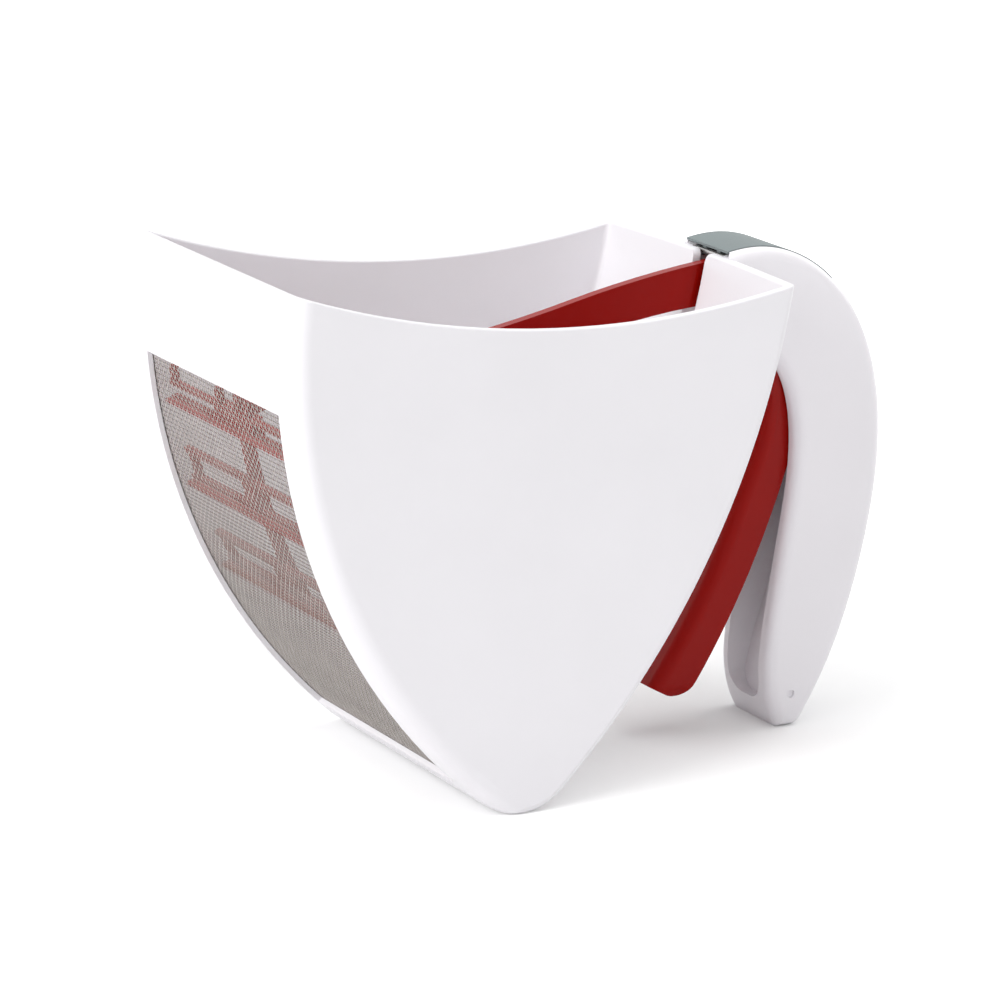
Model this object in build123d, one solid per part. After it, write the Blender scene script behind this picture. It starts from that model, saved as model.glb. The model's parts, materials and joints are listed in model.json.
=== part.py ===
"""Hand-held, squeeze-trigger flour sifter.

Frame: millimetres, +Z up, +X from the mesh window towards the handle, Y across the width.
The origin is on the surface that the sifter stands on, under the middle of its length and width.
The outlines are drawn with x larger by MIDDLE_X, which main() takes off.
In the side outlines a point is (x, z), and an angle is measured at the pivot, below the horizontal
that runs forward from it.
"""
from build123d import *
import os
from math import atan2, cos, degrees, hypot, radians, sin, sqrt

# hopper
HOPPER_WIDTH = 110.0
WALL = 2.4
CORNER_RADIUS = 2.0
FRONT_CORNER_RADIUS = 6.0
INNER_CORNER_RADIUS = 1.6
RIM_EDGE_RADIUS = 0.7
PIVOT = (69.5, 135.5)
FRONT_RADIUS = 175.0
REAR_RADIUS = 255.0
REAR_BOW = 2.0
TIP_RADIUS = 18.0
RIM_FRONT_Z = 156.3
RIM_MIDDLE = (-4.5, 138.8)
RIM_REAR = (52.2, 144.9)
HOLLOW_TOP_Z = 178.0
SLOT_WIDTH = 7.0
SLOT_BOTTOM_Z = 118.0
SLOT_CORNER_RADIUS = 3.0

# mesh window, struck from the pivot
WINDOW_TOP = 4.6
WINDOW_BOTTOM = 46.2
WINDOW_WIDTH = 91.0
MESH_OUTER_RADIUS = 173.5
MESH_THICKNESS = 0.6
MESH_EDGE_GRIP = 1.2

# hinge
EAR_INNER_Y = 7.2
EAR_RADIUS = 7.0
EAR_BOTTOM_Z = 128.5
EAR_TOP_Z = 141.6
PIN_RADIUS = 2.0
FIXED_CLEARANCE = 0.02
RUNNING_CLEARANCE = 0.06
BUSH_RADIUS = 3.2
HUB_RADIUS = 7.7
CHEEK_OUTER_Y = 4.2
SPACER_RADIUS = 3.4
END_PLAY = 0.05

# handle
HANDLE_WIDTH = 29.0
CHANNEL_WIDTH = 18.6
CHANNEL_BOTTOM_Z = 7.4
CHANNEL_END_RADIUS = 7.0
HANDLE_EDGE_RADIUS = 3.6
HANDLE_BACK = [
    (40.0, 141.6),
    (53.6, 146.3),
    (66.0, 147.1),
    (82.7, 140.9),
    (98.9, 122.1),
    (106.3, 90.0),
    (101.7, 53.0),
    (89.3, 17.4),
    (80.8, 2.6),
]
HEEL_START = (76.6, 0.0)
HANDLE_FRONT = [
    (72.0, 0.0),
    (67.9, 13.0),
    (69.0, 32.0),
    (74.0, 61.0),
    (77.0, 87.0),
    (70.6, 111.5),
    (57.0, 121.8),
    (40.0, 125.0),
]
CHANNEL_FLOOR = [(72.6, 6.0), (78.4, 30.0), (85.2, 50.0), (92.0, 80.0), (92.2, 105.0), (84.0, 134.0)]
FOOT_DIMPLE_AT = (75.9, 10.2)
FOOT_DIMPLE_RADIUS = 1.3
FOOT_DIMPLE_DEPTH = 0.8

# grey cover over the hinge
CAP_WIDTH = 24.6
CAP_THICKNESS = 1.8
CAP_FRONT_X = 53.9
CAP_REAR = (89.4, 135.4)
CAP_LIP_UNDERSIDE = [(52.0, 145.75), (62.9, 145.4)]
CLIP_SIZE = (2.6, 2.0, 3.2)
CLIP_OFFSET = (0.8, 4.2, 1.1)

# stop rod above the arm
ROD_AT = (55.9, 143.55)
ROD_RADIUS = 1.1

# trigger
TRIGGER_WIDTH = 17.4
TRIGGER_WALL = 2.0
TRIGGER_REAR = [
    (42.4, 10.2),
    (54.2, 28.4),
    (64.45, 47.9),
    (74.1, 71.0),
    (81.4, 95.0),
    (83.0, 112.0),
    (79.4, 126.4),
]
TRIGGER_FRONT = [
    (32.35, 15.8),
    (43.6, 33.2),
    (53.9, 52.6),
    (63.1, 74.6),
    (69.8, 95.6),
    (69.6, 112.0),
    (64.0, 126.4),
]
TRIGGER_END_RADIUS = 7.0
TRIGGER_EDGE_RADIUS = 4.0
TRIGGER_FLOOR_AT = (46.0, 17.0)
TRIGGER_FLOOR_SLOPE = 30
TRIGGER_FLOOR_HEIGHT = 5.0
CHANNEL_TOP_Z = 108.0
CHEEK_BOTTOM_Z = 92.0

# arm and rake
ARM_THICKNESS = 3.4
ARM_TOP = [
    (69.5, 143.2),
    (55.0, 141.8),
    (42.0, 140.1),
    (28.0, 137.75),
    (14.45, 134.95),
    (5.0, 132.7),
    (-40.0, 124.6),
    (-95.0, 121.4),
]
ARM_UNDER = [(-95.5, 110.0), (-84.0, 113.6), (-40.0, 117.2), (18.0, 124.4), (40.0, 127.7), (60.0, 129.0)]
SPINE_RADII = (165.0, 168.2)
SPINE_ANGLES = (4.8, 29.5)
BAR_RADII = (167.6, 169.8)
BAR_ANGLE = 0.5
BEAM_HALF_WIDTH = 44.0
BEAM_ANGLES = {"upper": (8.0, 9.5), "middle": (15.0, 18.2), "lower": (24.4, 27.6)}
LOW_BAR_ANGLES = {"upper": 0.5, "middle": 1.0, "lower": 1.0}
BOSS_HALF_WIDTHS = {"upper": 13.0, "middle": 4.0, "lower": 4.0}
BOSS_OVERLAP = 2.2
UPRIGHT_Y = 40.0
UPRIGHT_WIDTH = 2.0
PEG_Y = (42.0, 10.0)
PEG_HEIGHT_ANGLE = 1.9
WIPER_OUTER_RADIUS = 172.3
WIPER_THICKNESS_ANGLE = 0.28
ARM_SCREWS_AT = [(72.0, 122.0), (74.5, 112.5)]
ARM_SCREW_RADIUS = 1.3

# return spring
SPRING_WIRE_RADIUS = 0.4
SPRING_COIL_RADIUS = 4.4
SPRING_TURNS = 1.25
SPRING_PITCH = 0.92
SPRING_START_Y = 6.33
SPRING_LEG_END_X = 58.0
SPRING_LEG_END_Z = 119.0
SPRING_HOOK = 1.2

# handle screws, one from each side through the handle into a hinge ear
HANDLE_SCREW_AT = (57.0, 133.0)
HANDLE_SCREW_RADIUS = 1.5
HANDLE_SCREW_HEAD_RADIUS = 2.8
HANDLE_SCREW_HEAD_DEPTH = 1.8
HANDLE_SCREW_SUNK = 0.5
HANDLE_SCREW_POINT_Y = 7.6

# middle of the sifter's length, where the packed parts have x = 0
MIDDLE_X = 0.43

LONG = 400.0


def polar(radius, angle):
    """Point at a radius from the pivot, at an angle below the horizontal that runs forward."""
    return (PIVOT[0] - radius * cos(radians(angle)), PIVOT[1] - radius * sin(radians(angle)))


def angle_of(point):
    """Angle of a point, as polar() takes it."""
    return degrees(atan2(PIVOT[1] - point[1], PIVOT[0] - point[0]))


def along(centre, through, radius):
    """Point at a radius from a centre, in the direction of another point."""
    distance = hypot(through[0] - centre[0], through[1] - centre[1])
    return (
        centre[0] + (through[0] - centre[0]) * radius / distance,
        centre[1] + (through[1] - centre[1]) * radius / distance,
    )


def crossing(centre_a, radius_a, centre_b, radius_b):
    """Where two circles cross, on the left of the line from centre a to centre b."""
    dx = centre_b[0] - centre_a[0]
    dz = centre_b[1] - centre_a[1]
    distance = hypot(dx, dz)
    reach = (radius_a**2 - radius_b**2 + distance**2) / (2 * distance)
    height = sqrt(radius_a**2 - reach**2)
    return (
        centre_a[0] + (dx * reach - dz * height) / distance,
        centre_a[1] + (dz * reach + dx * height) / distance,
    )


def slab(edges, width, middle_y=0.0):
    """Solid of a closed side outline, spread evenly about a plane of constant y."""
    solid = extrude(Plane.XZ * make_face(edges), amount=width / 2, both=True)
    return Pos(0, middle_y, 0) * solid


def polygon(points):
    """Closed outline with straight sides."""
    return Polyline(*points, close=True).edges()


def sector(inner, outer, start, end):
    """Outline between two radii and two angles about the pivot."""
    middle = (start + end) / 2
    return [
        ThreePointArc(polar(outer, start), polar(outer, middle), polar(outer, end)),
        Line(polar(outer, end), polar(inner, end)),
        ThreePointArc(polar(inner, end), polar(inner, middle), polar(inner, start)),
        Line(polar(inner, start), polar(outer, start)),
    ]


def rod(point, radius, y_from, y_to):
    """Round rod along Y through a side point."""
    middle = (y_from + y_to) / 2
    length = abs(y_to - y_from)
    return Pos(point[0], middle, point[1]) * Rot(90, 0, 0) * Cylinder(radius, length)


# the two arcs of the hopper meet in a tip that stands on the ground
TIP = (PIVOT[0] - sqrt((FRONT_RADIUS - TIP_RADIUS) ** 2 - (PIVOT[1] - TIP_RADIUS) ** 2), TIP_RADIUS)


def rear_centre(bow):
    """Centre of the rear wall's arc, which is tangent to the tip; the rim end is moved back by the bow."""
    return crossing(TIP, REAR_RADIUS - TIP_RADIUS, (RIM_REAR[0] + bow, RIM_REAR[1]), REAR_RADIUS)


def rear_point(radius, z, bow):
    """Point of the rear wall's arc at a height."""
    centre = rear_centre(bow)
    return (centre[0] + sqrt(radius**2 - (z - centre[1]) ** 2), z)


def hopper_outline(inset, to_rim, bow):
    """Side outline of the hopper, moved inwards; it ends at the rim or well above it."""
    front_radius = FRONT_RADIUS - inset
    rear_radius = REAR_RADIUS - inset
    top_z = RIM_FRONT_Z if to_rim else HOLLOW_TOP_Z
    front_top = polar(front_radius, -degrees(asin_ratio(top_z - PIVOT[1], front_radius)))
    rear_top = rear_point(rear_radius, RIM_REAR[1] if to_rim else HOLLOW_TOP_Z, bow)
    front_low = along(PIVOT, TIP, front_radius)
    rear_low = along(rear_centre(bow), TIP, rear_radius)
    front_middle = polar(front_radius, (angle_of(front_top) + angle_of(front_low)) / 2)
    rear_middle = rear_point(rear_radius, (rear_top[1] + rear_low[1]) / 2, bow)
    rim = ThreePointArc(rear_top, RIM_MIDDLE, front_top) if to_rim else Line(rear_top, front_top)
    return [
        ThreePointArc(front_top, front_middle, front_low),
        ThreePointArc(front_low, (TIP[0], inset), rear_low),
        ThreePointArc(rear_low, rear_middle, rear_top),
        rim,
    ]


def asin_ratio(opposite, hypotenuse):
    """Angle in radians whose sine is opposite / hypotenuse."""
    return atan2(opposite, sqrt(hypotenuse**2 - opposite**2))


def front_drum(inset):
    """Drum about the pivot, whose rounded rims give the front wall its side corners."""
    radius = FRONT_RADIUS - inset
    half = HOPPER_WIDTH / 2 - inset
    profile = make_face(Polyline((0, -half), (radius, -half), (radius, half), (0, half), close=True).edges())
    corners = [vertex for vertex in profile.vertices() if vertex.X > radius / 2]
    rounded = fillet(corners, FRONT_CORNER_RADIUS - inset)
    return Pos(PIVOT[0], 0, PIVOT[1]) * revolve(rounded, Axis.Y)


def hopper_block(inset, to_rim, corner_radius):
    """Solid hopper shape, bowed out at the rear, with its long side edges rounded."""
    half = HOPPER_WIDTH / 2 - inset
    side = Plane.XZ * make_face(hopper_outline(inset, to_rim, 0.0))
    middle = Plane.XZ * make_face(hopper_outline(inset, to_rim, REAR_BOW))
    block = loft([Pos(0, -half, 0) * side, middle, Pos(0, half, 0) * side])
    rounded = [
        edge
        for edge in block.edges()
        if abs(abs(edge.center().Y) - half) < 0.01 and edge.center().Z < RIM_MIDDLE[1] - 8
    ]
    return fillet(rounded, corner_radius) & front_drum(inset)


def rear_slot():
    """Cutter for the slot that lets the arm out, with a rounded mouth at the rim."""
    depth = 30.0
    height = LONG / 4
    x = RIM_REAR[0]
    flare_z = RIM_REAR[1] - SLOT_CORNER_RADIUS
    corner_y = SLOT_WIDTH / 2 + SLOT_CORNER_RADIUS
    straight = Pos(x, 0, SLOT_BOTTOM_Z + SLOT_WIDTH / 2 + height / 2) * Box(depth, SLOT_WIDTH, height)
    round_end = Pos(x, 0, SLOT_BOTTOM_Z + SLOT_WIDTH / 2) * Rot(0, 90, 0) * Cylinder(SLOT_WIDTH / 2, depth)
    mouth = Pos(x, 0, flare_z + height / 2) * Box(depth, 2 * corner_y, height)
    for side in (-1, 1):
        mouth -= Pos(x, side * corner_y, flare_z) * Rot(0, 90, 0) * Cylinder(SLOT_CORNER_RADIUS, depth)
    return straight + round_end + mouth


def ear(side):
    """Hinge ear behind the rear wall."""
    outer_y = CHANNEL_WIDTH / 2
    middle_y = side * (EAR_INNER_Y + outer_y) / 2
    thickness = outer_y - EAR_INNER_Y
    in_wall = REAR_RADIUS - WALL / 2
    plate = slab(
        polygon(
            [
                rear_point(in_wall, EAR_BOTTOM_Z, REAR_BOW),
                (PIVOT[0], EAR_BOTTOM_Z),
                (PIVOT[0], EAR_TOP_Z),
                rear_point(in_wall, EAR_TOP_Z, REAR_BOW),
            ]
        ),
        thickness,
        middle_y,
    )
    boss = rod(PIVOT, EAR_RADIUS, side * EAR_INNER_Y, side * outer_y)
    return plate + boss


def mesh_sheet():
    """The woven mesh as a thin curved sheet, gripped by the edge of the window."""
    grip_angle = degrees(MESH_EDGE_GRIP / FRONT_RADIUS)
    outline = sector(
        MESH_OUTER_RADIUS - MESH_THICKNESS,
        MESH_OUTER_RADIUS,
        WINDOW_TOP - grip_angle,
        WINDOW_BOTTOM + grip_angle,
    )
    return slab(outline, WINDOW_WIDTH + 2 * MESH_EDGE_GRIP)


def spring_hole_front():
    """Point of the hole in the far ear that takes the spring's forward leg."""
    return (SPRING_LEG_END_X, PIVOT[1] + SPRING_COIL_RADIUS)


def spring_hole_low():
    """Point of the hole in the trigger's cheek that takes the spring's lower leg."""
    return (PIVOT[0] + SPRING_COIL_RADIUS, SPRING_LEG_END_Z)


def make_hopper():
    hopper = hopper_block(0.0, True, CORNER_RADIUS) - hopper_block(WALL, False, INNER_CORNER_RADIUS)
    rim = hopper.faces().sort_by(Axis.Z)[-1]
    hopper = fillet(rim.edges(), RIM_EDGE_RADIUS)
    hopper += ear(-1) + ear(1)
    window = slab(sector(FRONT_RADIUS - 10, FRONT_RADIUS + 10, WINDOW_TOP, WINDOW_BOTTOM), WINDOW_WIDTH)
    hopper -= window
    hopper -= mesh_sheet()
    hopper -= rear_slot()
    hopper -= rod(PIVOT, PIN_RADIUS + FIXED_CLEARANCE, -HANDLE_WIDTH, HANDLE_WIDTH)
    hopper -= rod(spring_hole_front(), SPRING_WIRE_RADIUS + 0.1, 0, HANDLE_WIDTH)
    hopper -= handle_screw_set()
    return hopper


def handle_outline():
    """Side outline of the whole handle, which runs on into the hopper's rear wall."""
    return [
        Spline(*HANDLE_BACK),
        TangentArc(HEEL_START, HANDLE_BACK[-1], tangent=(1, 0)),
        Line(HEEL_START, HANDLE_FRONT[0]),
        Spline(*HANDLE_FRONT),
        Line(HANDLE_FRONT[-1], HANDLE_BACK[0]),
    ]


def handle_block():
    """Solid handle with rounded long edges, before it is hollowed."""
    block = slab(handle_outline(), HANDLE_WIDTH)
    rounded = [
        edge
        for edge in block.edges()
        if abs(abs(edge.center().Y) - HANDLE_WIDTH / 2) < 0.01 and edge.center().X > HANDLE_BACK[0][0] + 1
    ]
    return fillet(rounded, HANDLE_EDGE_RADIUS)


def below_skin(depth):
    """Side outline of everything that lies deeper than a depth under the back of the handle."""
    back = Spline(*HANDLE_BACK)
    steps = 16
    points = []
    for step in range(steps + 1):
        share = 0.6 * step / steps
        tangent = back % share
        inward = Vector(tangent.Y, -tangent.X)
        points.append(back @ share + inward * depth)
    return [Spline(*points), Polyline(points[-1], (points[0].X, points[-1].Y), points[0])]


def cap_shape(width, thickness):
    """Curved plate that follows the top of the handle."""
    reach = slab(
        polygon(
            [
                (CAP_FRONT_X, 170.0),
                (CAP_FRONT_X, 130.0),
                (CAP_REAR[0] - 5, CAP_REAR[1] - 5),
                (CAP_REAR[0] + 20, CAP_REAR[1] + 20),
            ]
        ),
        width,
    )
    return slab(handle_outline(), width) & reach - slab(below_skin(thickness), width + 1)


def front_of_cap():
    """Cutter that lowers the handle in front of the cap by the cap's thickness."""
    low, high = EAR_BOTTOM_Z, HOLLOW_TOP_Z
    front = slab(polygon([(0.0, low), (CAP_FRONT_X, low), (CAP_FRONT_X, high), (0.0, high)]), HOPPER_WIDTH)
    return front - slab(below_skin(CAP_THICKNESS), HOPPER_WIDTH)


def channel():
    """Hollow of the handle, open to the front and, under the cap, to the top."""
    floor = [
        Spline(*CHANNEL_FLOOR),
        Polyline(CHANNEL_FLOOR[-1], (84.0, 160.0), (30.0, 160.0), (30.0, 6.0), CHANNEL_FLOOR[0]),
    ]
    hollow = slab(floor, CHANNEL_WIDTH)
    mouth = Pos(PIVOT[0], 0, CHANNEL_BOTTOM_Z + 100) * Box(160, CHANNEL_WIDTH, 200)
    mouth = fillet(mouth.edges().filter_by(Axis.X).sort_by(Axis.Z)[:2], CHANNEL_END_RADIUS)
    return hollow & mouth


def handle_screw(side):
    """Self-tapping screw that runs inwards from one face of the handle."""
    face_y = HANDLE_WIDTH / 2 - HANDLE_SCREW_SUNK
    shank = rod(HANDLE_SCREW_AT, HANDLE_SCREW_RADIUS, side * HANDLE_SCREW_POINT_Y, side * face_y)
    under_head_y = face_y - HANDLE_SCREW_HEAD_DEPTH
    head = rod(HANDLE_SCREW_AT, HANDLE_SCREW_HEAD_RADIUS, side * under_head_y, side * face_y)
    return shank + head


def handle_screw_set():
    """Both handle screws."""
    return handle_screw(-1) + handle_screw(1)


def pivot_pin_shape():
    """Plain pin through both ears, held in by the walls of the handle's channel."""
    half = CHANNEL_WIDTH / 2 - END_PLAY
    return rod(PIVOT, PIN_RADIUS, -half, half)


def make_handle_shell():
    half = HANDLE_WIDTH / 2
    screw_head_y = half - HANDLE_SCREW_SUNK - HANDLE_SCREW_HEAD_DEPTH
    shell = handle_block() - channel()
    shell -= slab(hopper_outline(0.0, False, REAR_BOW), HOPPER_WIDTH)
    shell -= cap_shape(CAP_WIDTH, CAP_THICKNESS)
    shell -= front_of_cap()
    shell -= rod(ROD_AT, ROD_RADIUS + FIXED_CLEARANCE, -half + 2, half - 2)
    shell -= rod(HANDLE_SCREW_AT, HANDLE_SCREW_RADIUS, -HANDLE_WIDTH, HANDLE_WIDTH)
    for side in (-1, 1):
        shell -= rod(HANDLE_SCREW_AT, HANDLE_SCREW_HEAD_RADIUS, side * screw_head_y, side * HANDLE_WIDTH)
        shell -= rod(FOOT_DIMPLE_AT, FOOT_DIMPLE_RADIUS, side * (half - FOOT_DIMPLE_DEPTH), side * half)
    return shell


def make_handle_cap():
    """Cover plate with a thin front lip and two clips that snap over the stop rod."""
    lip_start, lip_end = CAP_LIP_UNDERSIDE
    below_lip = polygon([lip_start, lip_end, (lip_end[0], ROD_AT[1]), (lip_start[0], ROD_AT[1])])
    cap = cap_shape(CAP_WIDTH - 0.2, CAP_THICKNESS) - slab(below_lip, HANDLE_WIDTH)
    clips = []
    for side in (-1, 1):
        at = Pos(ROD_AT[0] + CLIP_OFFSET[0], side * CLIP_OFFSET[1], ROD_AT[1] + CLIP_OFFSET[2])
        clips.append(at * Box(*CLIP_SIZE) - rod(ROD_AT, ROD_RADIUS + FIXED_CLEARANCE, -10, 10))
    return (cap + clips[0] + clips[1]) & slab(handle_outline(), CAP_WIDTH)


def trigger_outline():
    """Side outline of the curved finger lever and its neck."""
    return [
        Spline(*TRIGGER_REAR),
        Line(TRIGGER_REAR[-1], TRIGGER_FRONT[-1]),
        Spline(*TRIGGER_FRONT),
        Line(TRIGGER_FRONT[0], TRIGGER_REAR[0]),
    ]


def trigger_hollow_outline():
    """Side outline of the lever's hollow, which is open to the rear and at the top."""
    front = Spline(*TRIGGER_FRONT)
    steps = 12
    points = []
    for step in range(steps + 1):
        share = step / steps
        tangent = front % share
        points.append(front @ share + Vector(tangent.Y, -tangent.X) * TRIGGER_WALL)
    top = (points[-1].X, points[-1].Y + 10)
    low = (points[0].X - 5, points[0].Y - 10)
    outside = Polyline(points[-1], top, (LONG / 4, top[1]), (LONG / 4, low[1]), low, points[0])
    return [Spline(*points), outside]


def cheeks():
    """Block in the middle of the neck, up to the hub."""
    front = Spline(*TRIGGER_FRONT)
    hub_z = PIVOT[1] - HUB_RADIUS / 2
    top_rear = (TRIGGER_REAR[-1][0] - 3.0, hub_z)
    top_front = (TRIGGER_FRONT[-1][0] + 0.4, hub_z)
    neck_top_z = TRIGGER_FRONT[-1][1]
    height = neck_top_z - CHEEK_BOTTOM_Z
    block = Pos(PIVOT[0], 0, neck_top_z - height / 2) * Box(LONG, 2 * CHEEK_OUTER_Y, height)
    block &= slab(trigger_outline(), LONG)
    top = slab(polygon([TRIGGER_REAR[-1], TRIGGER_FRONT[-1], top_front, top_rear]), 2 * CHEEK_OUTER_Y)
    return block + top


def make_trigger():
    lever = slab(trigger_outline(), TRIGGER_WIDTH)
    ends = lever.edges().filter_by(Axis.Y).sort_by(Axis.Z)
    lever = fillet(ends[0], TRIGGER_END_RADIUS)
    soft = [
        edge
        for edge in lever.edges()
        if abs(abs(edge.center().Y) - TRIGGER_WIDTH / 2) < 0.01 and edge.length > 60
    ]
    front = sorted(soft, key=lambda edge: edge.center().X)[:2]
    lever = fillet(front, TRIGGER_EDGE_RADIUS)
    mask = Pos(PIVOT[0], 0, TRIGGER_REAR[0][1] - 0.6 + LONG / 2) * Box(LONG, TRIGGER_WIDTH, LONG)
    mask = fillet(mask.edges().filter_by(Axis.X).sort_by(Axis.Z)[:2], TRIGGER_END_RADIUS)
    lever &= mask
    hollow = slab(trigger_hollow_outline(), TRIGGER_WIDTH - 2 * TRIGGER_WALL)
    floor_x, floor_z = TRIGGER_FLOOR_AT
    floor = Box(LONG / 4, LONG, TRIGGER_FLOOR_HEIGHT)
    floor = Pos(floor_x, 0, floor_z) * Rot(0, TRIGGER_FLOOR_SLOPE, 0) * floor
    lever -= hollow - floor
    hub = rod(PIVOT, HUB_RADIUS, -CHEEK_OUTER_Y, CHEEK_OUTER_Y)
    trigger = lever + cheeks() + hub
    trigger -= Pos(PIVOT[0], 0, 100 + CHANNEL_TOP_Z) * Box(60, ARM_THICKNESS, 200)
    trigger -= rod(PIVOT, BUSH_RADIUS, -20, 20)
    trigger -= rod(spring_hole_low(), SPRING_WIRE_RADIUS + 0.1, 2, 10)
    for point in ARM_SCREWS_AT:
        trigger -= rod(point, ARM_SCREW_RADIUS, -20, 20)
        trigger -= rod(point, ARM_SCREW_RADIUS * 1.8, -20, -CHEEK_OUTER_Y + 1.2)
    return trigger


def make_agitator_arm():
    """Flat arm with a hub eye, a tail between the trigger's cheeks and the rake's spine."""
    blade = slab(
        [
            Spline(*ARM_TOP),
            Line(ARM_TOP[-1], ARM_UNDER[0]),
            Spline(*ARM_UNDER),
            Line(ARM_UNDER[-1], PIVOT),
            Line(PIVOT, ARM_TOP[0]),
        ],
        ARM_THICKNESS,
    )
    eye = rod(PIVOT, HUB_RADIUS, -ARM_THICKNESS / 2, ARM_THICKNESS / 2)
    tail = slab(
        polygon([(66.0, 134.0), (74.0, 134.0), (78.8, CHANNEL_TOP_Z + 0.4), (70.4, CHANNEL_TOP_Z + 0.4)]),
        ARM_THICKNESS,
    )
    spine = slab(sector(*SPINE_RADII, *SPINE_ANGLES), ARM_THICKNESS)
    arm = blade + eye + tail + spine
    arm -= rod(PIVOT, BUSH_RADIUS, -20, 20)
    for point in ARM_SCREWS_AT:
        arm -= rod(point, ARM_SCREW_RADIUS, -20, 20)
    return arm


def rake_bar(angle, height):
    """Straight bar across the width, at an angle about the pivot; its height is an angle too."""
    return slab(sector(*BAR_RADII, angle - height / 2, angle + height / 2), 2 * BEAM_HALF_WIDTH)


def upright(start, end, y):
    """Short post between two angles."""
    return slab(sector(*BAR_RADII, start, end), UPRIGHT_WIDTH, y)


def make_rake_beam(name, arm):
    """Two bars joined by a boss that clips over the spine; the upper beam has pegs, the others posts."""
    top, low = BEAM_ANGLES[name]
    beam = rake_bar(top, BAR_ANGLE) + rake_bar(low, LOW_BAR_ANGLES[name])
    boss_radii = (SPINE_RADII[1] - BOSS_OVERLAP, BAR_RADII[1])
    half_height = BAR_ANGLE / 2
    beam += slab(sector(*boss_radii, top - half_height, low + half_height), 2 * BOSS_HALF_WIDTHS[name])
    for side in (-1, 1):
        if name == "upper":
            for y in PEG_Y:
                beam += upright(top - PEG_HEIGHT_ANGLE, top, side * y)
        else:
            beam += upright(top, low, side * UPRIGHT_Y)
    return beam - arm


def make_wiper(name):
    """Thin flexible strip that stands on a beam's lower bar and sweeps the mesh."""
    angle = BEAM_ANGLES[name][1]
    half = WIPER_THICKNESS_ANGLE / 2
    outline = sector(BAR_RADII[1], WIPER_OUTER_RADIUS, angle - half, angle + half)
    return slab(outline, 2 * BEAM_HALF_WIDTH - 2)


def make_spring():
    """Torsion spring: a forward leg hooked in the ear, a coil, and a lower leg hooked in the cheek."""
    helix = Helix(SPRING_PITCH, SPRING_PITCH * SPRING_TURNS, SPRING_COIL_RADIUS, lefthand=True)
    coil = Pos(PIVOT[0], SPRING_START_Y, PIVOT[1]) * Rot(90, 0, 0) * Rot(0, 0, 90) * helix
    start = coil @ 0
    end = coil @ 1
    front = start - (coil % 0) * (start.X - SPRING_LEG_END_X)
    low = end + (coil % 1) * (end.Z - SPRING_LEG_END_Z)
    front_hook = front + Vector(0, SPRING_HOOK, 0)
    low_hook = low - Vector(0, SPRING_HOOK, 0)
    runs = [
        Line(front_hook, front).edge(),
        Line(front, start).edge(),
        coil.edge(),
        Line(end, low).edge(),
        Line(low, low_hook).edge(),
    ]
    section = Plane(origin=front_hook, z_dir=(0, -1, 0)) * Circle(SPRING_WIRE_RADIUS)
    return sweep(section, path=Wire(runs), transition=Transition.RIGHT)


def spacer(side):
    """Nylon ring beside the hub."""
    inner_y = CHEEK_OUTER_Y + END_PLAY
    outer_y = EAR_INNER_Y
    ring = rod(PIVOT, SPACER_RADIUS, side * inner_y, side * outer_y)
    return ring - rod(PIVOT, PIN_RADIUS + FIXED_CLEARANCE, side * (inner_y - 1), side * (outer_y + 1))


def arm_screw_set():
    """Two screws that clamp the arm's tail between the trigger's cheeks."""
    screws = []
    for point in ARM_SCREWS_AT:
        shank = rod(point, ARM_SCREW_RADIUS, -CHEEK_OUTER_Y + 1.2, CHEEK_OUTER_Y)
        head = rod(point, ARM_SCREW_RADIUS * 1.8, -CHEEK_OUTER_Y, -CHEEK_OUTER_Y + 1.2)
        screws.append(shank + head)
    return screws[0] + screws[1]


def main():
    os.makedirs("parts", exist_ok=True)
    arm = make_agitator_arm()
    nodes = {
        "hopper": make_hopper(),
        "mesh_screen": mesh_sheet(),
        "handle_shell": make_handle_shell(),
        "handle_cap": make_handle_cap(),
        "stop_rod": rod(ROD_AT, ROD_RADIUS, -HANDLE_WIDTH / 2 + 2, HANDLE_WIDTH / 2 - 2),
        "pivot_pin": pivot_pin_shape(),
        "spacer_near": spacer(-1),
        "spacer_far": spacer(1),
        "return_spring": make_spring(),
        "handle_screws": handle_screw_set(),
        "trigger": make_trigger(),
        "hub_bush": rod(PIVOT, BUSH_RADIUS, -CHEEK_OUTER_Y, CHEEK_OUTER_Y)
        - rod(PIVOT, PIN_RADIUS + RUNNING_CLEARANCE, -20, 20),
        "agitator_arm": arm,
        "arm_screws": arm_screw_set(),
    }
    for name in BEAM_ANGLES:
        nodes["rake_beam_" + name] = make_rake_beam(name, arm)
        nodes["wiper_" + name] = make_wiper(name)
    for name, solid in nodes.items():
        export_step(Pos(-MIDDLE_X, 0, 0) * solid, "parts/" + name + ".step")


main()
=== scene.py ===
"""Finish of the trigger flour sifter: woven screen, materials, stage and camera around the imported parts.

Lengths are metres in the parts' own frame: +X from the screen to the handle, +Y across, +Z up.
"""

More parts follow.
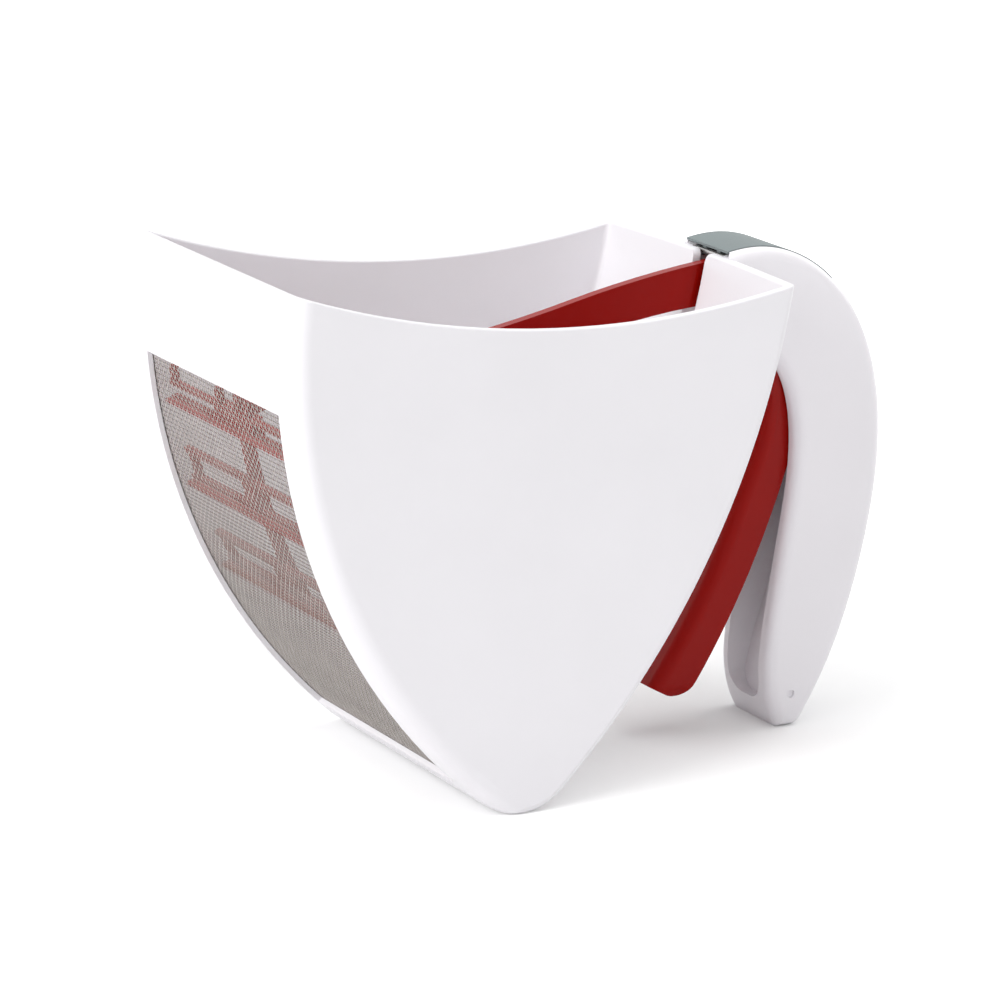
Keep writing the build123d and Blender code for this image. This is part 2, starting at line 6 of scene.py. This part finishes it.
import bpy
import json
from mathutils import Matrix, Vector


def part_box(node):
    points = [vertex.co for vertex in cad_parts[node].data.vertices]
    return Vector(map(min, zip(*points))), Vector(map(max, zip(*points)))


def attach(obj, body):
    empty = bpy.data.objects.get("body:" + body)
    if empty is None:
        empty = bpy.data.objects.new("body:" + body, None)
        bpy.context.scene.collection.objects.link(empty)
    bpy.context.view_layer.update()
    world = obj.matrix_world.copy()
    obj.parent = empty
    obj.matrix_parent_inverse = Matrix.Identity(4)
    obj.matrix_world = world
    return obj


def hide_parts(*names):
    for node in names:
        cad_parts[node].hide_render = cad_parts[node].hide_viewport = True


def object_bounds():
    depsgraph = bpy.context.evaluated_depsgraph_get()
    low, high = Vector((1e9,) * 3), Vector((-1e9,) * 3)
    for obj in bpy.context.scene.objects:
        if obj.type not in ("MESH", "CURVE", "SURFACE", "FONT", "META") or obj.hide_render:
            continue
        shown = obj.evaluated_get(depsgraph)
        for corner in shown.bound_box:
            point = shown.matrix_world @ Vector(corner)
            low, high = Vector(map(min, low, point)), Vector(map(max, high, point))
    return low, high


bl_info = {
    "name": "Trigger Flour Sifter",
    "version": (1, 0, 0),
    "blender": (4, 5, 0),
    "location": "View3D > Sidebar > Sifter",
    "description": "Builds the finish of a squeeze-trigger flour sifter around its packed parts",
    "category": "Object",
}

import json
import math

import bpy
import numpy as np
from bpy.props import FloatProperty, FloatVectorProperty, IntProperty, PointerProperty
from bpy.types import Operator, Panel, PropertyGroup
from mathutils import Matrix, Vector

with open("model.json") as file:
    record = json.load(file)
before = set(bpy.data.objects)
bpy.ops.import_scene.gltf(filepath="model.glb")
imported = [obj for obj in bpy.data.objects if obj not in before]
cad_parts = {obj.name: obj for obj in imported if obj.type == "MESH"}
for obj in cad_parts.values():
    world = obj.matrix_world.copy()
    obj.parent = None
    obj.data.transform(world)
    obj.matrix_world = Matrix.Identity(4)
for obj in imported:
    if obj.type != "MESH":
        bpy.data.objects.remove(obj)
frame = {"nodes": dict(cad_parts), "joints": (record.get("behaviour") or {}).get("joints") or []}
bpy.context.view_layer.update()
CAD_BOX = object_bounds()

MM = 0.001
PIVOT = Vector(frame["joints"][0]["pos_m"])
SCREEN_LOW, SCREEN_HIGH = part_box("mesh_screen")

PLASTIC_IOR = 1.46
GLOSSY_RED_IOR = 1.23
GRAINED_IOR = 1.49
SILICONE_IOR = 1.41
GLOSSY_RED_ROUGHNESS = 0.24
STEEL_ROUGHNESS = 0.28
SPRING_ROUGHNESS = 0.34
SPRING_SHADE = 0.8  # colour of the spring as a share of the other steel
NYLON_ROUGHNESS = 0.45

WORLD_LIGHT = 0.40  # strength of the surroundings as they light the parts
FLOOR_GAP = 0.05 * MM  # from the parts down to the floor
FOOT_INSET = 0.03  # from the handle's outer end in to its foot
# The floor's glow is smallest near the handle's foot, which paints shade on the floor around the foot; it
# rises to plain white further off.
NEAR_FOOT = 0.02  # distances from the foot between which the floor's lift rises
FAR_FROM_FOOT = 0.45
LIFT_NEAR_FOOT_PAINTED_SHADE = 0.09
LIFT_FAR = 0.7

LAMP_TARGET = (0.0, 0.0, 0.08)
LAMPS = (  # name, place, width and height, power in watts
    ("lamp_left", (-1.7, -0.35, 0.95), (1.4, 1.2), 26.0),
    ("lamp_top", (0.2, -0.2, 1.8), (2.0, 2.0), 20.0),
    ("lamp_front", (0.3, -1.9, 1.0), (1.6, 1.2), 2.0),
    ("lamp_right", (1.5, 0.3, 0.9), (1.0, 1.2), 8.0),
)


# --- sizes and colours -------------------------------------------------------------------------


def colour_property(name, description, default):
    """Colour swatch with three linear components."""
    return FloatVectorProperty(
        name=name, description=description, default=default, subtype="COLOR", size=3, min=0.0, max=1.0
    )


def length_property(name, description, default):
    """Length in metres."""
    return FloatProperty(name=name, description=description, default=default, min=0.0, unit="LENGTH")


def factor_property(name, description, default):
    """Share between 0 and 1."""
    return FloatProperty(
        name=name, description=description, default=default, min=0.0, max=1.0, subtype="FACTOR"
    )


class SifterFinish(PropertyGroup):
    """Colours and surface of the moulded and metal parts."""

    white: colour_property("White", "Colour of the hopper", (0.845, 0.830, 0.860))
    handle_white: colour_property("Handle white", "Colour of the handle", (0.870, 0.847, 0.880))
    red: colour_property("Red", "Colour of the trigger, arm and rake", (0.285, 0.003, 0.0010))
    wiper_red: colour_property("Wiper red", "Colour of the soft wiping strips", (0.420, 0.020, 0.018))
    slate: colour_property("Slate", "Colour of the cover over the hinge", (0.175, 0.208, 0.211))
    steel: colour_property("Steel", "Colour of pins, screws and rod", (0.600, 0.590, 0.580))
    wire_steel: colour_property("Wire steel", "Colour of the woven wire", (0.460, 0.430, 0.402))
    nylon: colour_property("Nylon", "Colour of the bush and spacers", (0.640, 0.620, 0.560))
    gloss_roughness: factor_property("Moulding roughness", "Roughness of polished mouldings", 0.30)
    grain_depth: length_property("Grain depth", "Depth of the fine moulded grain", 0.000006)


class SifterScreen(PropertyGroup):
    """Sizes of the woven screen."""

    pitch: length_property("Pitch", "Distance between neighbouring wires", 0.00143)
    wire_radius: length_property("Wire radius", "Radius of one wire", 0.000135)
    sheet_radius: length_property(
        "Curve radius", "Distance from the hinge to the middle of the screen", 0.1732
    )
    wire_sides: IntProperty(
        name="Wire sides", description="Corners of a wire's cross-section", default=4, min=3, max=8
    )


class SifterStage(PropertyGroup):
    """Floor, lights and camera."""

    floor_colour: colour_property("Floor", "Colour of the floor", (0.86, 0.86, 0.86))
    floor_size: length_property("Floor size", "Side of the square floor", 12.0)
    camera_place: FloatVectorProperty(
        name="Camera place",
        description="Where the camera stands",
        default=(-0.66416, -1.27603, 0.44025),
        size=3,
        subtype="TRANSLATION",
        unit="LENGTH",
    )
    camera_heading: FloatProperty(
        name="Camera heading",
        description="Turn of the view direction from +Y towards +X",
        default=math.radians(26.98),
        subtype="ANGLE",
        unit="ROTATION",
    )
    camera_tilt: FloatProperty(
        name="Camera tilt",
        description="How far the camera looks down",
        default=math.radians(14.235),
        subtype="ANGLE",
        unit="ROTATION",
    )
    lens: FloatProperty(
        name="Lens",
        description="Focal length in millimetres",
        default=183.307,
        min=1.0,
        subtype="DISTANCE_CAMERA",
    )


# --- shader helpers ----------------------------------------------------------------------------


class Value:
    """Output socket of a node tree; its sums and products become Math nodes."""

    def __init__(self, nodes, socket):
        self.nodes = nodes
        self.socket = socket

    def _math(self, operation, first, second):
        return self.nodes.add("ShaderNodeMath", {"operation": operation}, {0: first, 1: second})

    def __add__(self, other):
        return self._math("ADD", self, other)

    def __radd__(self, other):
        return self._math("ADD", other, self)

    def __mul__(self, other):
        return self._math("MULTIPLY", self, other)


class Nodes:
    """Node tree of a material or world."""

    def __init__(self, owner):
        owner.use_nodes = True
        self.tree = owner.node_tree
        self.tree.nodes.clear()

    def add(self, kind, settings=None, inputs=None, output=0):
        """Adds a node, sets its settings, then its inputs to values or links, and returns one output."""
        node = self.tree.nodes.new(kind)
        for name, value in (settings or {}).items():
            setattr(node, name, value)
        for key, value in (inputs or {}).items():
            if isinstance(value, Value):
                self.tree.links.new(value.socket, node.inputs[key])
            else:
                node.inputs[key].default_value = value
        if len(node.outputs) == 0:
            return None
        return Value(self, node.outputs[output])

    def place(self):
        """Object coordinates."""
        return self.add("ShaderNodeTexCoord", output="Object")

    def noise(self, scale, detail, vector=None):
        """Smooth noise between 0 and 1; scale counts its features in a metre, detail its finer layers."""
        return self.add(
            "ShaderNodeTexNoise",
            {"noise_dimensions": "3D"},
            {"Vector": vector or self.place(), "Scale": scale, "Detail": detail, "Roughness": 0.5},
            output="Fac",
        )

    def stretched(self, stretch):
        """Object coordinates, scaled differently along the three axes."""
        return self.add("ShaderNodeMapping", None, {"Vector": self.place(), "Scale": stretch})

    def blend(self, factor, first, second):
        """Mix of two colours."""
        return self.add(
            "ShaderNodeMix",
            {"data_type": "RGBA"},
            {"Factor": factor, 6: first, 7: second},
            output=2,
        )

    def bump(self, height, depth, normal=None):
        """Normal of a surface raised by a height between 0 and 1 times a depth in metres."""
        inputs = {"Height": height, "Distance": depth, "Strength": 1.0}
        if normal is not None:
            inputs["Normal"] = normal
        return self.add("ShaderNodeBump", None, inputs)


def rgba(colour, gain=1.0):
    """Colour with alpha, brightened by a gain."""
    return (*(min(1.0, channel * gain) for channel in colour), 1.0)


def surface_material(name, sockets, varying):
    """Principled material; sockets are its constants, and varying makes its linked inputs from the nodes."""
    material = bpy.data.materials.new(name)
    nodes = Nodes(material)
    shader = nodes.add("ShaderNodeBsdfPrincipled", None, {**sockets, **varying(nodes)})
    nodes.add("ShaderNodeOutputMaterial", None, {"Surface": shader})
    return material


def moulded_material(name, colour, roughness, grain_depth, ior=PLASTIC_IOR):
    """Injection-moulded plastic: faint cloudiness, uneven gloss, a fine grain and slow sink waves."""

    def varying(nodes):
        cloud = nodes.noise(26.0, detail=3.0)
        handling = nodes.noise(70.0, detail=4.0)
        grain = nodes.noise(2600.0, detail=1.0)
        sink = nodes.noise(45.0, detail=1.0)
        waves = nodes.bump(sink, grain_depth * 2)
        return {
            "Base Color": nodes.blend(cloud, rgba(colour, 0.965), rgba(colour, 1.03)),
            "Roughness": roughness * 0.85 + handling * (roughness * 0.3),
            "Normal": nodes.bump(grain, grain_depth, waves),
        }

    return surface_material(name, {"IOR": ior}, varying)


def rubber_material(name, colour):
    """Soft silicone: matt, with a dusty bloom."""

    def varying(nodes):
        bloom = nodes.noise(320.0, detail=3.0)
        grain = nodes.noise(3200.0, detail=1.0)
        return {
            "Base Color": nodes.blend(bloom, rgba(colour, 0.85), rgba(colour, 1.15)),
            "Roughness": 0.55 + bloom * 0.2,
            "Normal": nodes.bump(grain, 0.00002),
        }

    return surface_material(name, {"IOR": SILICONE_IOR}, varying)


def grained_material(name, colour):
    """Matt plastic with a spark-eroded grain: small rounded pits of two sizes."""

    def varying(nodes):
        coarse = nodes.noise(1900.0, detail=2.0)
        fine = nodes.noise(5200.0, detail=1.0)
        cloud = nodes.noise(60.0, detail=3.0)
        return {
            "Base Color": nodes.blend(cloud, rgba(colour, 0.88), rgba(colour, 1.14)),
            "Roughness": 0.46 + cloud * 0.12,
            "Normal": nodes.bump(coarse + fine * 0.4, 0.00005),
        }

    return surface_material(name, {"IOR": GRAINED_IOR}, varying)


def turned_material(name, colour, roughness):
    """Bright steel turned on a lathe along Y: rings of fine tool marks and a few darker stains."""

    def varying(nodes):
        rings = nodes.noise(1.0, detail=3.0, vector=nodes.stretched((150.0, 5200.0, 150.0)))
        stain = nodes.noise(240.0, detail=4.0)
        return {
            "Base Color": nodes.blend(stain, rgba(colour, 0.86), rgba(colour, 1.08)),
            "Roughness": (roughness - 0.08) + rings * 0.16,
            "Normal": nodes.bump(rings, 0.00001),
        }

    return surface_material(name, {"Metallic": 1.0}, varying)


def wire_material(name, colour):
    """Drawn stainless wire: lengths that differ a little in brightness, and dull patches."""

    def varying(nodes):
        length = nodes.noise(130.0, detail=2.0)
        speck = nodes.noise(1500.0, detail=2.0)
        return {
            "Base Color": nodes.blend(length, rgba(colour, 0.84), rgba(colour, 1.12)),
            "Roughness": 0.16 + speck * 0.14,
        }

    return surface_material(name, {"Metallic": 1.0}, varying)


def cover_with(material, *node_names):
    """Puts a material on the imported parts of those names."""
    for node_name in node_names:
        part = frame["nodes"][node_name]
        part.data.materials.clear()
        part.data.materials.append(material)


# --- woven wire --------------------------------------------------------------------------------


def wire_grid(path, side, up, radius, sides):
    """Corners of round wires: at each path point, the point plus radius times
    (cos of a turn along the side vector + sin of the turn along the up vector).
    path, side and up have the shape (wires, steps, 3); the result has (wires, steps, sides, 3)."""
    turn = np.arange(sides) / sides * 2 * np.pi
    ring = side[:, :, None, :] * np.cos(turn)[:, None] + up[:, :, None, :] * np.sin(turn)[:, None]
    return path[:, :, None, :] + radius * ring


def wire_faces(wires, steps, sides):
    """Quads round every wire of a wire_grid() and one polygon over each end, all facing outwards."""
    index = np.arange(wires * steps * sides).reshape(wires, steps, sides)
    beside = np.roll(index, -1, axis=2)
    quads = np.stack([index[:, :-1], beside[:, :-1], beside[:, 1:], index[:, 1:]], axis=-1).reshape(-1, 4)
    ends = np.concatenate([index[:, 0, ::-1], index[:, -1]])
    return quads, ends


def wire_piece(name, path, side, up, radius, sides):
    """Mesh object of many wires."""
    wires, steps, _ = path.shape
    corners = wire_grid(path, side, up, radius, sides).reshape(-1, 3)
    quads, ends = wire_faces(wires, steps, sides)
    mesh = bpy.data.meshes.new(name)
    mesh.from_pydata(corners.tolist(), [], quads.tolist() + ends.tolist())
    mesh.polygons.foreach_set("use_smooth", np.ones(len(mesh.polygons), bool))
    mesh.update()
    piece = bpy.data.objects.new(name, mesh)
    bpy.context.scene.collection.objects.link(piece)
    return piece


def weave(crossings, phase):
    """Height of wires that pass over and under in turn, as a share of their crimp.
    Between two samples at a quarter of a pitch on either side of each crossing the wire lies flat,
    at plus or minus one: the sign is that of (-1) to the power of crossing number plus phase."""
    number = np.repeat(np.arange(crossings), 2)
    return 1.0 - 2.0 * ((number[None, :] + phase[:, None]) % 2)


class SIFTER_OT_weave_screen(Operator):
    """Weaves the screen from two families of crimped wires on a cylinder about the hinge"""

    bl_idname = "sifter.weave_screen"
    bl_label = "Weave Screen"

    def execute(self, context):
        screen = context.scene.sifter_screen
        finish = context.scene.sifter_finish
        radius = screen.sheet_radius
        first = math.asin((PIVOT.z - SCREEN_HIGH.z) / (radius + 2 * screen.wire_radius))
        last = math.asin((PIVOT.z - SCREEN_LOW.z) / (radius - 2 * screen.wire_radius))
        half_width = SCREEN_HIGH.y - screen.wire_radius
        rows = int((last - first) * radius / screen.pitch)
        columns = int(2 * half_width / screen.pitch)
        angles = np.linspace(first, last, 2 * rows + 1)[1::2]
        places = np.linspace(-half_width, half_width, 2 * columns + 1)[1::2]
        quarter = 0.25 * screen.pitch
        material = wire_material("Woven_wire", finish.wire_steel)
        steps_y = (places[:, None] + np.array([-quarter, quarter])).ravel()
        steps_angle = (angles[:, None] + np.array([-quarter, quarter]) / radius).ravel()
        across = self.wires(
            radius + screen.wire_radius * weave(columns, np.arange(rows)),
            np.broadcast_to(angles[:, None], (rows, 2 * columns)),
            np.broadcast_to(steps_y, (rows, 2 * columns)),
        )
        down = self.wires(
            radius - screen.wire_radius * weave(rows, np.arange(columns)),
            np.broadcast_to(steps_angle, (columns, 2 * rows)),
            np.broadcast_to(places[:, None], (columns, 2 * rows)),
        )
        for name, (path, outward, downward), runs_across in (
            ("screen_wires_across", across, True),
            ("screen_wires_down", down, False),
        ):
            sideways = downward if runs_across else np.broadcast_to([0.0, 1.0, 0.0], path.shape)
            order = (sideways, outward) if runs_across else (outward, sideways)
            piece = wire_piece(name, path, *order, screen.wire_radius, screen.wire_sides)
            piece.data.materials.append(material)
            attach(piece, "body")
            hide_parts("mesh_screen")
        return {"FINISHED"}

    @staticmethod
    def wires(radius, angle, y):
        """Points at a radius from the hinge, at an angle below the line that runs forward, with the
        outward and the downward direction there."""
        zero = np.zeros_like(angle)
        outward = np.stack([-np.cos(angle), zero, -np.sin(angle)], axis=-1)
        downward = np.stack([np.sin(angle), zero, -np.cos(angle)], axis=-1)
        path = np.array([PIVOT.x, 0.0, PIVOT.z]) + outward * radius[..., None]
        path[..., 1] = y
        return path, outward, downward


# --- finishes ----------------------------------------------------------------------------------


class SIFTER_OT_finish_shell(Operator):
    """Gives the hopper and the handle their polished white plastic"""

    bl_idname = "sifter.finish_shell"
    bl_label = "Finish Hopper and Handle"

    def execute(self, context):
        finish = context.scene.sifter_finish
        white = moulded_material("White_moulding", finish.white, finish.gloss_roughness, finish.grain_depth)
        handle = moulded_material(
            "White_handle_moulding", finish.handle_white, finish.gloss_roughness, finish.grain_depth
        )
        cover_with(white, "hopper")
        cover_with(handle, "handle_shell")
        return {"FINISHED"}


class SIFTER_OT_finish_agitator(Operator):
    """Gives the trigger, arm, rake and wiping strips their red plastics"""

    bl_idname = "sifter.finish_agitator"
    bl_label = "Finish Trigger and Rake"

    def execute(self, context):
        finish = context.scene.sifter_finish
        red = moulded_material(
            "Red_moulding", finish.red, GLOSSY_RED_ROUGHNESS, finish.grain_depth, ior=GLOSSY_RED_IOR
        )
        cover_with(red, "trigger", "agitator_arm", "rake_beam_upper", "rake_beam_middle", "rake_beam_lower")
        soft = rubber_material("Red_silicone", finish.wiper_red)
        cover_with(soft, "wiper_upper", "wiper_middle", "wiper_lower")
        return {"FINISHED"}


class SIFTER_OT_finish_hinge(Operator):
    """Gives the cover over the hinge and the hinge's small parts their slate plastic, steel and nylon"""

    bl_idname = "sifter.finish_hinge"
    bl_label = "Finish Hinge"

    def execute(self, context):
        finish = context.scene.sifter_finish
        cover_with(grained_material("Slate_cover", finish.slate), "handle_cap")
        steel = turned_material("Turned_steel", finish.steel, STEEL_ROUGHNESS)
        cover_with(steel, "stop_rod", "pivot_pin", "arm_screws", "handle_screws")
        darker = tuple(SPRING_SHADE * channel for channel in finish.steel)
        spring = turned_material("Spring_wire", darker, SPRING_ROUGHNESS)
        cover_with(spring, "return_spring")
        nylon = moulded_material("Nylon_bearing", finish.nylon, NYLON_ROUGHNESS, finish.grain_depth)
        cover_with(nylon, "hub_bush", "spacer_near", "spacer_far")
        return {"FINISHED"}


# --- stage -------------------------------------------------------------------------------------


def seen_white(nodes):
    """1 for what the camera sees straight, in a reflection or through glass, and 0 for light on the parts."""
    path = nodes.tree.nodes.new("ShaderNodeLightPath")
    camera = Value(nodes, path.outputs["Is Camera Ray"])
    glossy = Value(nodes, path.outputs["Is Glossy Ray"])
    clear = Value(nodes, path.outputs["Is Transmission Ray"])
    return camera + glossy + clear


def floor_material(colour):
    """White paper; the camera also sees it lifted by a glow, only a little near the handle's foot, which
    paints shade on the floor around the foot, and up to plain white further off."""
    material = bpy.data.materials.new("Floor_paper")
    nodes = Nodes(material)
    paper = nodes.add("ShaderNodeBsdfDiffuse", None, {"Color": rgba(colour)})
    foot = (CAD_BOX[1].x - FOOT_INSET, 0.0, 0.0)
    distance = nodes.add(
        "ShaderNodeVectorMath", {"operation": "DISTANCE"}, {0: nodes.place(), 1: foot}, output=1
    )
    # Small lift near the foot and large further off: painted shade on the floor around the foot.
    rise = nodes.add(
        "ShaderNodeMapRange",
        None,
        {
            "Value": distance,
            "From Min": NEAR_FOOT,
            "From Max": FAR_FROM_FOOT,
            "To Min": LIFT_NEAR_FOOT_PAINTED_SHADE,
            "To Max": LIFT_FAR,
        },
    )
    strength = seen_white(nodes) * rise
    glow = nodes.add("ShaderNodeEmission", None, {"Color": (1, 1, 1, 1), "Strength": strength})
    both = nodes.add("ShaderNodeAddShader", None, {0: paper, 1: glow})
    nodes.add("ShaderNodeOutputMaterial", None, {"Surface": both})
    return material


def area_light(name, place, size, power):
    """White rectangular lamp that faces the parts."""
    data = bpy.data.lights.new(name, "AREA")
    data.shape = "RECTANGLE"
    data.size, data.size_y = size
    data.energy = power
    lamp = bpy.data.objects.new(name, data)
    lamp.location = place
    lamp.rotation_euler = (Vector(LAMP_TARGET) - Vector(place)).to_track_quat("-Z", "Y").to_euler()
    bpy.context.scene.collection.objects.link(lamp)


class SIFTER_OT_build_stage(Operator):
    """Makes the white floor, the soft lamps, the surroundings and the camera"""

    bl_idname = "sifter.build_stage"
    bl_label = "Build Stage"

    def execute(self, context):
        stage = context.scene.sifter_stage
        self.floor(stage)
        self.lamps()
        self.surroundings(context.scene)
        self.camera(context.scene, stage)
        return {"FINISHED"}

    @staticmethod
    def floor(stage):
        half = stage.floor_size / 2
        mesh = bpy.data.meshes.new("floor")
        corners = [(-half, -half, 0.0), (half, -half, 0.0), (half, half, 0.0), (-half, half, 0.0)]
        mesh.from_pydata(corners, [], [(0, 1, 2, 3)])
        floor = bpy.data.objects.new("floor", mesh)
        floor.location.z = CAD_BOX[0].z - FLOOR_GAP
        mesh.materials.append(floor_material(stage.floor_colour))
        bpy.context.scene.collection.objects.link(floor)

    @staticmethod
    def lamps():
        for lamp in LAMPS:
            area_light(*lamp)

    @staticmethod
    def surroundings(scene):
        world = bpy.data.worlds.new("Studio")
        scene.world = world
        nodes = Nodes(world)
        strength = WORLD_LIGHT + seen_white(nodes) * (1.0 - WORLD_LIGHT)
        background = nodes.add("ShaderNodeBackground", None, {"Color": (1, 1, 1, 1), "Strength": strength})
        nodes.add("ShaderNodeOutputWorld", None, {"Surface": background})

    @staticmethod
    def camera(scene, stage):
        data = bpy.data.cameras.new("camera")
        data.sensor_width = 36.0
        data.lens = stage.lens
        data.clip_start = 0.05
        data.clip_end = 50.0
        camera = bpy.data.objects.new("camera", data)
        heading = Matrix.Rotation(-stage.camera_heading, 4, "Z")
        tilt = Matrix.Rotation(math.pi / 2 - stage.camera_tilt, 4, "X")
        camera.matrix_world = Matrix.Translation(stage.camera_place) @ heading @ tilt
        scene.collection.objects.link(camera)
        scene.camera = camera
        scene.view_settings.view_transform = "Standard"


# --- panel and registration --------------------------------------------------------------------

OPERATORS = (
    SIFTER_OT_finish_shell,
    SIFTER_OT_weave_screen,
    SIFTER_OT_finish_agitator,
    SIFTER_OT_finish_hinge,
    SIFTER_OT_build_stage,
)
GROUPS = {"sifter_finish": SifterFinish, "sifter_screen": SifterScreen, "sifter_stage": SifterStage}


class SIFTER_PT_builder(Panel):
    """Lists the sifter's pieces, sizes and colours"""

    bl_idname = "SIFTER_PT_builder"
    bl_label = "Flour Sifter"
    bl_space_type = "VIEW_3D"
    bl_region_type = "UI"
    bl_category = "Sifter"

    def draw(self, context):
        for operator in OPERATORS:
            self.layout.operator(operator.bl_idname)
        for group_name, group in GROUPS.items():
            box = self.layout.box()
            for property_name in group.__annotations__:
                box.prop(getattr(context.scene, group_name), property_name)


def register():
    """Registers the groups, operators and panel."""
    for registered in (*GROUPS.values(), *OPERATORS, SIFTER_PT_builder):
        bpy.utils.register_class(registered)
    for group_name, group in GROUPS.items():
        setattr(bpy.types.Scene, group_name, PointerProperty(type=group))


def unregister():
    """Removes what register() added."""
    for group_name in GROUPS:
        delattr(bpy.types.Scene, group_name)
    for registered in (SIFTER_PT_builder, *reversed(OPERATORS), *GROUPS.values()):
        bpy.utils.unregister_class(registered)


def main():
    register()
    bpy.ops.sifter.finish_shell()
    bpy.ops.sifter.weave_screen()
    bpy.ops.sifter.finish_agitator()
    bpy.ops.sifter.finish_hinge()
    bpy.ops.sifter.build_stage()
    bpy.context.view_layer.update()


if __name__ == "__main__":
    main()
